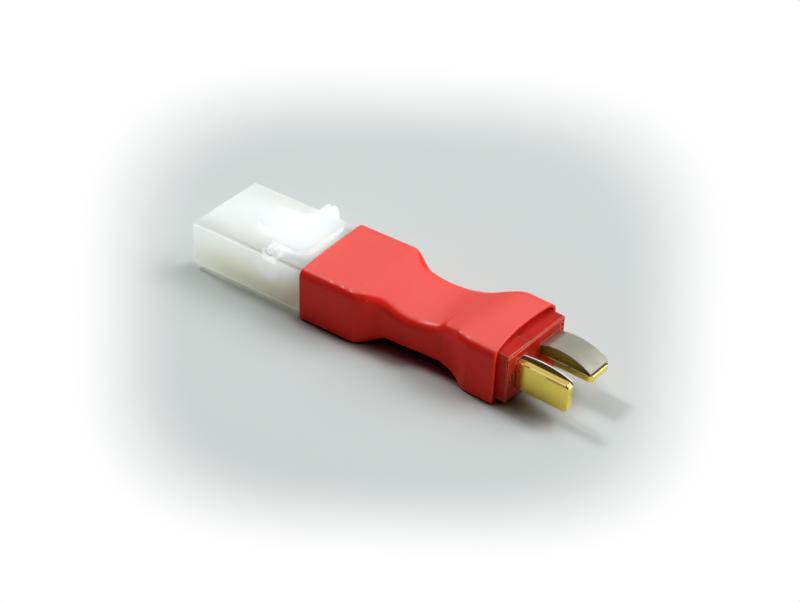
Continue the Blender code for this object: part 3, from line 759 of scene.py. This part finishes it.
@dataclass(frozen=True)
class SpringStrip:
    """Plated spring strip: satin, with rolling marks, a few dark flecks and a painted highlight on its
    cut edges.
    """

    edge: Axis
    steel: Colour = (0.395, 0.39, 0.33)
    fleck: Colour = (0.22, 0.21, 0.18)
    haze: Colour = (0.48, 0.475, 0.42)
    # The painted highlight on the cut edges
    bright: Colour = (0.98, 0.97, 0.94)
    rough: Span = (0.52, 0.74)
    metal: Span = (1.0, 0.2)
    rolled: Grain = Grain(700.0, 4.0, (0.08, 1.0, 1.0))
    fleck_scale: float = 620.0
    fleck_size: float = 0.13
    fleck_share: float = 0.7
    hazes: Grain = Grain(420.0, 4.0)
    haze_edge: Span = (0.45, 0.75)
    haze_share: float = 0.4
    cut_highlight_turn: Span = (0.6, 0.9)
    edge_radius: float = 0.08 * MM
    edge_lift: float = 1.2
    relief: Relief = Relief(0.01 * MM, 0.4, 0.05 * MM)

    def make(self) -> bpy.types.Material:
        """Build the material.

        Returns:
            The finished material.
        """
        graph = ShaderGraph("spring_steel")
        rolled = graph.noise(self.rolled)
        flecks = graph.times(graph.specks(self.fleck_scale, self.fleck_size), self.fleck_share)
        haze = graph.times(graph.step(graph.noise(self.hazes), self.haze_edge), self.haze_share)
        tone = graph.blend(haze, graph.blend(flecks, self.steel, self.fleck), self.haze)
        # Painted highlight: the cut faces and the edges turn near white and lose their metal
        cut = graph.step(graph.maths("ABSOLUTE", graph.facing(self.edge)), self.cut_highlight_turn)
        rim = graph.either(graph.edges(self.edge_radius), cut)
        graph.set(
            base_color=graph.blend(rim, tone, self.bright),
            metallic=graph.between(rim, self.metal),
            roughness=graph.between(rolled, self.rough),
        )
        graph.relief(rolled, self.relief, graph.times(rim, self.edge_lift))
        return graph.material


@dataclass(frozen=True)
class TinnedMetal:
    """Tin or solder: pale grey metal with soft clouding and a painted highlight on its edges."""

    name: str = "tinned_brass"
    pale: Colour = (0.78, 0.77, 0.73)
    dark: Colour = (0.5, 0.49, 0.46)
    rough: Span = (0.2, 0.48)
    bright: Colour = (0.88, 0.87, 0.84)
    cloud: Grain = Grain(600.0, 5.0)
    cloud_edge: Span = (0.4, 0.8)
    edge_radius: float = 0.08 * MM
    edge_share: float = 0.5
    skin: Grain = Grain(1800.0)
    relief: Relief = Relief(0.01 * MM, 0.6, 0.08 * MM)

    def make(self) -> bpy.types.Material:
        """Build the material.

        Returns:
            The finished material.
        """
        graph = ShaderGraph(self.name)
        cloud = graph.noise(self.cloud)
        tone = graph.blend(graph.step(cloud, self.cloud_edge), self.pale, self.dark)
        # Painted highlight on the edges
        rim = graph.times(graph.edges(self.edge_radius), self.edge_share)
        graph.set(
            base_color=graph.blend(rim, tone, self.bright),
            metallic=1.0,
            roughness=graph.between(cloud, self.rough),
        )
        graph.relief(graph.noise(self.skin), self.relief)
        return graph.material


@dataclass(frozen=True)
class WireJacket:
    """Soft wire insulation, matt with a fine grain and edges painted paler as a highlight."""

    name: str = "red_jacket"
    tone: Colour = (0.55, 0.03, 0.03)
    paling: float = 1.5
    least_pale: float = 0.02
    rough: Span = (0.45, 0.62)
    grain: Grain = Grain(2600.0)
    grain_edge: Span = (0.4, 0.8)
    edge_radius: float = 0.1 * MM
    edge_share: float = 0.4
    relief: Relief = Relief(0.02 * MM, 0.5, 0.1 * MM)

    def make(self) -> bpy.types.Material:
        """Build the material.

        Returns:
            The finished material.
        """
        graph = ShaderGraph(self.name)
        grain = graph.noise(self.grain)
        pale = tuple(min(1.0, part * self.paling + self.least_pale) for part in self.tone)
        tone = graph.blend(graph.step(grain, self.grain_edge), self.tone, pale)
        # Painted highlight: the edges turn paler
        rim = graph.times(graph.edges(self.edge_radius), self.edge_share)
        graph.set(
            base_color=graph.blend(rim, tone, pale),
            roughness=graph.between(grain, self.rough),
        )
        graph.relief(grain, self.relief)
        return graph.material


# Pieces


def ease(value: float, start: float, end: float) -> float:
    """A smooth rise from 0 at the start to 1 at the end."""
    share = min(max((value - start) / (end - start), 0.0), 1.0)
    return share * share * (3.0 - 2.0 * share)


def bend(value: float, soft: float) -> float:
    """A value that is held at 0 from below, through a rounded bend.

    Args:
        value: The value to hold.
        soft: How wide the bend is on either side.

    Returns:
        The held value.
    """
    if abs(value) < soft:
        return (value + soft) ** 2 / (4 * soft)
    return max(value, 0.0)


def ramp(value: float, start: float, end: float, soft: float) -> float:
    """A straight rise from 0 at the start to 1 at the end, with soft of it rounded off at each end."""
    share = (value - start) / (end - start)
    return bend(share, soft) - bend(share - 1.0, soft)


def mix(first: float, second: float, share: float) -> float:
    """A value between two others."""
    return first + (second - first) * share


def dress(material: bpy.types.Material, *nodes: str) -> None:
    """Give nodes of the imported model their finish.

    Args:
        material: The finish.
        nodes: The nodes' names.
    """
    for node in nodes:
        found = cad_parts[node]
        found.data.materials.clear()
        found.data.materials.append(material)
        LOG.info("%s dressed in %s", node, material.name)


@dataclass(frozen=True)
class Receptacle:
    """The white end: housing, latch lever and the two pin terminals."""

    nylon: WhiteNylon = WhiteNylon()
    tin: TinnedMetal = TinnedMetal()

    def build(self) -> None:
        """Dress the white pieces and the terminals in them."""
        dress(self.nylon.make(), "receptacle_housing", "latch_lever")
        dress(self.tin.make(), "pin_terminal_left", "pin_terminal_right")


@dataclass(frozen=True)
class Join:
    """The leads and solder inside the sleeve."""

    left: WireJacket = WireJacket()
    right: WireJacket = WireJacket("black_jacket", (0.02, 0.02, 0.022))
    solder: TinnedMetal = TinnedMetal("solder", (0.66, 0.66, 0.67), (0.42, 0.42, 0.43), (0.24, 0.52))

    def build(self) -> None:
        """Dress the leads and the solder."""
        dress(self.left.make(), "lead_left")
        dress(self.right.make(), "lead_right")
        dress(self.solder.make(), "solder_joint_left", "solder_joint_right")


@dataclass(frozen=True)
class BladePlug:
    """The red end: body, two blades and their springs, each bright on its cut edges."""

    body: RedNylon = RedNylon()
    gold: GoldPlate = GoldPlate()
    upright: SpringStrip = SpringStrip(Axis.UP)
    flat: SpringStrip = SpringStrip(Axis.ACROSS)

    def build(self) -> None:
        """Dress the plug's pieces."""
        dress(self.body.make(), "plug_body")
        dress(self.gold.make(), "blade_upright", "blade_flat")
        dress(self.upright.make(), "leaf_spring_upright")
        dress(self.flat.make(), "leaf_spring_flat")


@dataclass(frozen=True)
class Blemish:
    """A small bump or dent that the sleeve shrank with.

    Args:
        place: Its middle.
        reach: How far it spreads along each axis.
        push: How far its middle is moved.
    """

    place: Vector
    reach: Vector
    push: Vector

    def shift(self, point: Vector) -> Vector:
        """How far it moves a point of the sleeve."""
        away = sum(((point[axis] - self.place[axis]) / self.reach[axis]) ** 2 for axis in range(3))
        return self.push * math.exp(-away)


def dust_grain(x: float, y: float, z: float, height: float = DUST_HEIGHT) -> Blemish:
    """The bump of a grain of dust under the sleeve, its place and height given in millimetres."""
    reach = Vector((DUST_REACH, DUST_REACH, DUST_REACH)) * MM
    return Blemish(station(x, y, z), reach, Vector(DUST_PUSH) * height * MM)


@dataclass(frozen=True)
class Section:
    """The sleeve's outline at one station: half widths, heights and corner radii."""

    near: float
    far: float
    top: float
    bottom: float
    far_corner: float
    near_corner: float
    foot: float


@dataclass(frozen=True)
class SleeveShell:
    """The shrink sleeve, shaped as it shrank: tight on both ends, drawn in round the leads."""

    tubing: ShrinkRed = ShrinkRed()
    wall: float = 0.5 * MM
    start: float = 22.66 * MM
    start_skew: float = -0.009
    end: float = 58.9 * MM
    trim_skew: float = -0.036
    lip_sag: float = 0.75 * MM
    lip_run: float = 4.0 * MM
    housing_end: float = 33.0 * MM
    housing_half: float = 8.58 * MM
    housing_top: float = 9.6 * MM
    plug_rear: float = 53.65 * MM
    plug_front: float = 61.05 * MM
    plug_shift: float = 0.22 * MM
    plug_yaw: float = math.radians(-3.08)
    plug_half: float = 8.35 * MM
    plug_top: float = 9.85 * MM
    waist_start: float = 32.8 * MM
    waist_top: float = 7.5 * MM
    waist_bottom: float = 0.9 * MM
    waist_top_run: float = 9.0 * MM
    shoulder_run: float = 5.2 * MM
    plug_shoulder_run: float = 3.9 * MM
    shoulder_soft: float = 0.25
    overrun: float = 0.6 * MM
    plug_far_run: float = 6.0 * MM
    plug_top_run: float = 10.5 * MM
    foot_run: float = 3.0 * MM
    foot_lead: float = 3.4 * MM
    pin_pitch: float = 6.7 * MM
    blade_pitch: float = 7.15 * MM
    spread: Span = (35.6 * MM, 42.6 * MM)
    lead_cover: float = 3.3 * MM
    land_corner: float = 1.5 * MM
    land_foot: float = 0.5 * MM
    waist_corner: float = 2.7 * MM
    waist_near_corner: float = 1.7 * MM
    waist_foot: float = 2.15 * MM
    crease_start: float = 47.0 * MM
    crease_lean: float = -0.235
    crease_height: float = 4.0 * MM
    near_drop: float = 0.3 * MM
    stations: int = 200
    corner_steps: int = 12
    flat_steps: int = 26
    blemishes: tuple[Blemish, ...] = (
        Blemish(station(51.6, -6.5, 9.0), Vector((0.9, 1.1, 1.1)) * MM, Vector((0.0, -0.1, 0.22)) * MM),
        Blemish(station(49.4, -4.2, 7.9), Vector((0.8, 1.3, 1.5)) * MM, Vector((0.0, 0.0, -0.2)) * MM),
        dust_grain(28.9, -8.1, 9.1, 0.16),
        dust_grain(31.0, -8.05, 9.15, 0.14),
        dust_grain(32.6, -8.1, 9.0, 0.12),
        dust_grain(34.4, -7.3, 9.1, 0.14),
        dust_grain(36.6, -7.4, 8.2),
    )

    def waist_half(self, x: float) -> float:
        """The waist's half width at x, where the leads spread from the pins to the blades."""
        return mix(self.pin_pitch, self.blade_pitch, ease(x, *self.spread)) / 2 + self.lead_cover

    def section(self, x: float) -> Section:
        """The sleeve's outline before it is turned and creased.

        Args:
            x: How far from the mouth it is cut.

        Returns:
            The outline's sizes.
        """
        leave = ease(x, self.waist_start, self.waist_start + self.shoulder_run)
        fall = ease(x, self.waist_start, self.waist_start + self.waist_top_run)
        shoulder = self.plug_rear - self.plug_shoulder_run
        near_arrive = ramp(x, shoulder, self.plug_rear, self.shoulder_soft)
        far_arrive = ease(x, self.plug_rear - self.plug_far_run, self.plug_rear + self.overrun)
        rise = ease(x, self.plug_rear - self.plug_top_run, self.plug_rear + self.overrun)
        foot_down = self.plug_rear - self.foot_lead
        settle = ease(x, foot_down - self.foot_run, foot_down)
        half = mix(self.housing_half, self.waist_half(x), leave)
        soft = leave * (1 - far_arrive)
        return Section(
            near=mix(half, self.plug_half, near_arrive),
            far=mix(half, self.plug_half, far_arrive),
            top=mix(mix(self.housing_top, self.waist_top, fall), self.plug_top, rise),
            bottom=self.waist_bottom * leave * (1 - settle),
            far_corner=mix(self.land_corner, self.waist_corner, soft),
            near_corner=mix(self.land_corner, self.waist_near_corner, soft),
            foot=mix(self.land_foot, self.waist_foot, soft),
        )

    def outline(self, cut: Section) -> list[Vector]:
        """A section's points, round its four corners and along its four flats.

        Args:
            cut: The section's sizes.

        Returns:
            The points, across and up.
        """
        corners = (
            (-cut.near + cut.foot, cut.bottom + cut.foot, cut.foot, 180.0),
            (cut.far - cut.foot, cut.bottom + cut.foot, cut.foot, 270.0),
            (cut.far - cut.far_corner, cut.top - cut.far_corner, cut.far_corner, 0.0),
            (-cut.near + cut.near_corner, cut.top - cut.near_corner, cut.near_corner, 90.0),
        )
        arcs = []
        for y, z, radius, begin in corners:
            arc = []
            for step in range(self.corner_steps + 1):
                turn = math.radians(begin + 90.0 * step / self.corner_steps)
                arc.append(Vector((y + radius * math.cos(turn), z + radius * math.sin(turn))))
            arcs.append(arc)
        line: list[Vector] = []
        flats = self.flat_steps + 1
        for arc, following in zip(arcs, arcs[1:] + arcs[:1]):
            line += arc
            line += [arc[-1].lerp(following[0], step / flats) for step in range(1, flats)]
        return line

    def ring(self, x: float) -> list[Vector]:
        """One ring of the loft, turned with the plug, creased, sagged and blemished.

        Args:
            x: How far from the mouth it lies.

        Returns:
            Its places in the frame.
        """
        cut = self.section(x)
        share = ease(x, self.housing_end, self.plug_rear)
        heading = share * self.plug_yaw
        middle = share * (self.plug_shift + (x - self.plug_front) * math.tan(self.plug_yaw))
        skew = mix(self.start_skew, 0.0, ease(x, self.start, self.housing_end))
        skew += self.trim_skew * ease(x, self.plug_rear, self.end)
        crease_end = self.plug_rear - self.plug_shoulder_run
        lean = self.crease_lean * ease(x, self.crease_start, crease_end)
        lean *= 1.0 - ease(x, crease_end, self.plug_rear)
        sag = self.lip_sag * ease(x, self.end - self.lip_run, self.end)
        places = []
        for y, z in self.outline(cut):
            nearness = ease(-y, 0.0, cut.near)
            along = x - y * math.sin(heading) + y * skew
            along += (z - self.crease_height) * lean * nearness - sag * (1.0 - (y / cut.near) ** 2)
            drop = self.near_drop * (z / cut.top) ** 2 * nearness
            place = Vector((MOUTH_X + along, middle + y * math.cos(heading), z - drop))
            places.append(sum((blemish.shift(place) for blemish in self.blemishes), place))
        return places

    def build(self) -> None:
        """Loft the sleeve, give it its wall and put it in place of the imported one."""
        shape = bmesh.new()
        rings = []
        for index in range(self.stations + 1):
            x = mix(self.start, self.end, index / self.stations)
            rings.append([shape.verts.new(place) for place in self.ring(x)])
        count = len(rings[0])
        for first, second in zip(rings, rings[1:]):
            for index in range(count):
                following = (index + 1) % count
                shape.faces.new((first[index], first[following], second[following], second[index]))
        bmesh.ops.recalc_face_normals(shape, faces=shape.faces)
        shell = new_object("sleeve_shell", shape, self.tubing.make())
        shell.data.shade_smooth()
        wall = shell.modifiers.new("wall", "SOLIDIFY")
        wall.thickness = self.wall
        wall.offset = -1.0
        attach(shell, Body.ADAPTER.value)
        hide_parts("shrink_sleeve")
        LOG.info("sleeve_shell lofted through %d rings of %d points", len(rings), count)


def new_object(name: str, shape: bmesh.types.BMesh, material: bpy.types.Material) -> bpy.types.Object:
    """Put a built shape into the scene.

    Args:
        name: The object's name.
        shape: Its mesh in the making, which is used up.
        material: Its finish.

    Returns:
        The new object.
    """
    mesh = bpy.data.meshes.new(name)
    shape.to_mesh(mesh)
    shape.free()
    mesh.materials.append(material)
    made = bpy.data.objects.new(name, mesh)
    bpy.context.scene.collection.objects.link(made)
    return made


# Stage, light and camera


@dataclass(frozen=True)
class Floor:
    """The pale floor: white far from the adapter, with a painted shadow right under its sleeve and plug.
    """

    grey: Colour = (0.66, 0.715, 0.705)
    pale: Colour = (0.7, 0.74, 0.73)
    # The painted contact shadow's colour
    under: Colour = (0.06, 0.055, 0.045)
    white: Colour = (1.0, 1.0, 1.0)
    grain: Grain = Grain(1500.0, 2.0)
    grain_share: Span = (0.0, 0.1)
    rough: Span = (0.6, 0.7)
    specular: float = 0.2
    # Where the painted contact shadow lies: how far off things close the floor in, and from where along
    # the adapter
    contact: float = 4.0 * MM
    contact_edge: Span = (0.15, 0.85)
    contact_run: Span = (MOUTH_X + 21.0 * MM, MOUTH_X + 24.0 * MM)
    size: float = 3.0
    heading: float = VIEW_HEADING
    middle: Span = (1.0 * MM, 3.0 * MM)
    reach: Span = (51.0 * MM, 65.0 * MM)
    widening: float = 3.0
    least_width: float = 0.2
    power: float = 3.5
    fade_edge: Span = (0.66, 1.04)

    def fade(self, graph: ShaderGraph) -> Socket:
        """How white the floor is, on a patch that widens away from the front.

        Args:
            graph: The material's nodes.

        Returns:
            A mask that is 0 round the adapter and 1 far from it.
        """
        cos, sin = math.cos(self.heading), math.sin(self.heading)
        x, y, _ = graph.axes
        across = graph.plus(graph.times(x, cos), graph.times(y, sin))
        away = graph.minus(graph.times(y, cos), graph.times(x, sin))
        width = graph.either(graph.plus(graph.times(away, self.widening), 1.0), self.least_width)
        total: Feed = 0.0
        for part, middle, reach in zip((across, away), self.middle, self.reach):
            share = graph.minus(graph.maths("DIVIDE", part, width), middle)
            share = graph.maths("ABSOLUTE", graph.maths("DIVIDE", share, reach))
            total = graph.plus(total, graph.maths("POWER", share, self.power))
        return graph.step(graph.maths("POWER", total, 1 / self.power), self.fade_edge)

    def make(self) -> bpy.types.Material:
        """Build the floor's material.

        Returns:
            The finished material.
        """
        graph = ShaderGraph("pale_floor")
        rays = graph.rays()
        grain = graph.noise(self.grain)
        tone = graph.blend(graph.between(grain, self.grain_share), self.grey, self.pale)
        # Painted contact shadow: only the camera sees it, and only where the sleeve and the plug hang
        # over the floor
        opaque = graph.step(graph.axes[Axis.ALONG.value], self.contact_run)
        unseen = graph.minus(1.0, graph.times(opaque, rays["Is Camera Ray"]))
        bare = graph.either(graph.step(graph.openness(self.contact), self.contact_edge), unseen)
        graph.set(
            base_color=graph.blend(bare, self.under, tone),
            roughness=graph.between(grain, self.rough),
            specular_ior_level=self.specular,
        )
        # The white lights nothing: it shows to the camera, in gloss and through clear pieces
        seen = graph.either(rays["Is Camera Ray"], rays["Is Glossy Ray"])
        seen = graph.either(seen, rays["Is Transmission Ray"])
        graph.cover(graph.times(self.fade(graph), seen), "ShaderNodeEmission", self.white)
        return graph.material

    def build(self) -> None:
        """Lay the floor under the adapter."""
        shape = bmesh.new()
        bmesh.ops.create_grid(shape, x_segments=1, y_segments=1, size=self.size / 2)
        floor = new_object("floor", shape, self.make())


@dataclass(frozen=True)
class SoftBox:
    """One soft lamp, aimed at the middle of the adapter.

    Args:
        name: The lamp's name.
        heading: Where it hangs, in degrees from +X towards +Y.
        height: How high it hangs over the floor, in degrees.
        width: Its width.
        depth: Its depth.
        power: Its power in watts.
        reach: How far off it hangs.
    """

    name: str
    heading: float
    height: float
    width: float
    depth: float
    power: float
    reach: float = 1.2

    def build(self) -> None:
        """Hang the lamp and turn it to the adapter."""
        turn, lift = math.radians(self.heading), math.radians(self.height)
        level = math.cos(lift)
        toward = Vector((math.cos(turn) * level, math.sin(turn) * level, math.sin(lift)))
        lamp = bpy.data.lights.new(self.name, "AREA")
        lamp.shape = "RECTANGLE"
        lamp.size, lamp.size_y = self.width, self.depth
        lamp.energy = self.power
        hung = bpy.data.objects.new(self.name, lamp)
        hung.location = toward * self.reach
        hung.rotation_mode = "QUATERNION"
        hung.rotation_quaternion = (-toward).to_track_quat("-Z", "Y")
        bpy.context.scene.collection.objects.link(hung)


@dataclass(frozen=True)
class Studio:
    """The soft boxes and the room's own faint light."""

    room: Colour = (0.93, 0.97, 1.0)
    room_strength: float = 0.015
    boxes: tuple[SoftBox, ...] = (
        SoftBox("behind", 122.0, 56.0, 1.2, 1.25, 4.15),
        SoftBox("right_box", 37.0, 39.0, 0.9, 0.85, 12.6),
        SoftBox("left_box", 172.0, 46.0, 0.22, 0.22, 5.2),
    )

    def build(self) -> None:
        """Set the world and hang the lamps."""
        world = bpy.data.worlds.new("room")
        world.use_nodes = True
        back = world.node_tree.nodes["Background"]
        back.inputs["Color"].default_value = (*self.room, 1.0)
        back.inputs["Strength"].default_value = self.room_strength
        bpy.context.scene.world = world
        for box in self.boxes:
            box.build()


@dataclass(frozen=True)
class Viewpoint:
    """The camera, where the photograph was taken from."""

    azimuth: float = VIEW_HEADING
    elevation: float = math.radians(35.45)
    roll: float = math.radians(2.07)
    distance: float = 272.3 * MM
    target: Vector = Vector((0.40 * MM, 0.68 * MM, 4.0 * MM))
    lens: float = 77.86
    sensor: float = 36.0
    clip: Span = (0.01, 10.0)

    def build(self) -> None:
        """Place the camera and make it the scene's own."""
        cos, sin = math.cos(self.azimuth), math.sin(self.azimuth)
        level = math.cos(self.elevation)
        back = Vector((sin * level, -cos * level, math.sin(self.elevation)))
        right = Vector((cos, sin, 0.0))
        up = back.cross(right)
        tilted_right = right * math.cos(self.roll) + up * math.sin(self.roll)
        tilted_up = up * math.cos(self.roll) - right * math.sin(self.roll)
        data = bpy.data.cameras.new("camera")
        data.lens = self.lens
        data.sensor_width = self.sensor
        data.clip_start, data.clip_end = self.clip
        camera = bpy.data.objects.new("camera", data)
        turn = Matrix((tilted_right, tilted_up, back)).transposed()
        camera.matrix_world = Matrix.Translation(self.target + back * self.distance) @ turn.to_4x4()
        bpy.context.scene.collection.objects.link(camera)
        bpy.context.scene.camera = camera


def main() -> None:
    """Build the camera, stage, light and every piece of the adapter."""
    logging.basicConfig(level=logging.INFO, format="%(message)s")
    bpy.context.scene.view_settings.view_transform = "Standard"
    for setting in (Viewpoint(), Floor(), Studio()):
        setting.build()
    for assembly in (Receptacle(), Join(), BladePlug(), SleeveShell()):
        assembly.build()
        LOG.info("%s built", type(assembly).__name__)


if __name__ == "__main__":
    main()
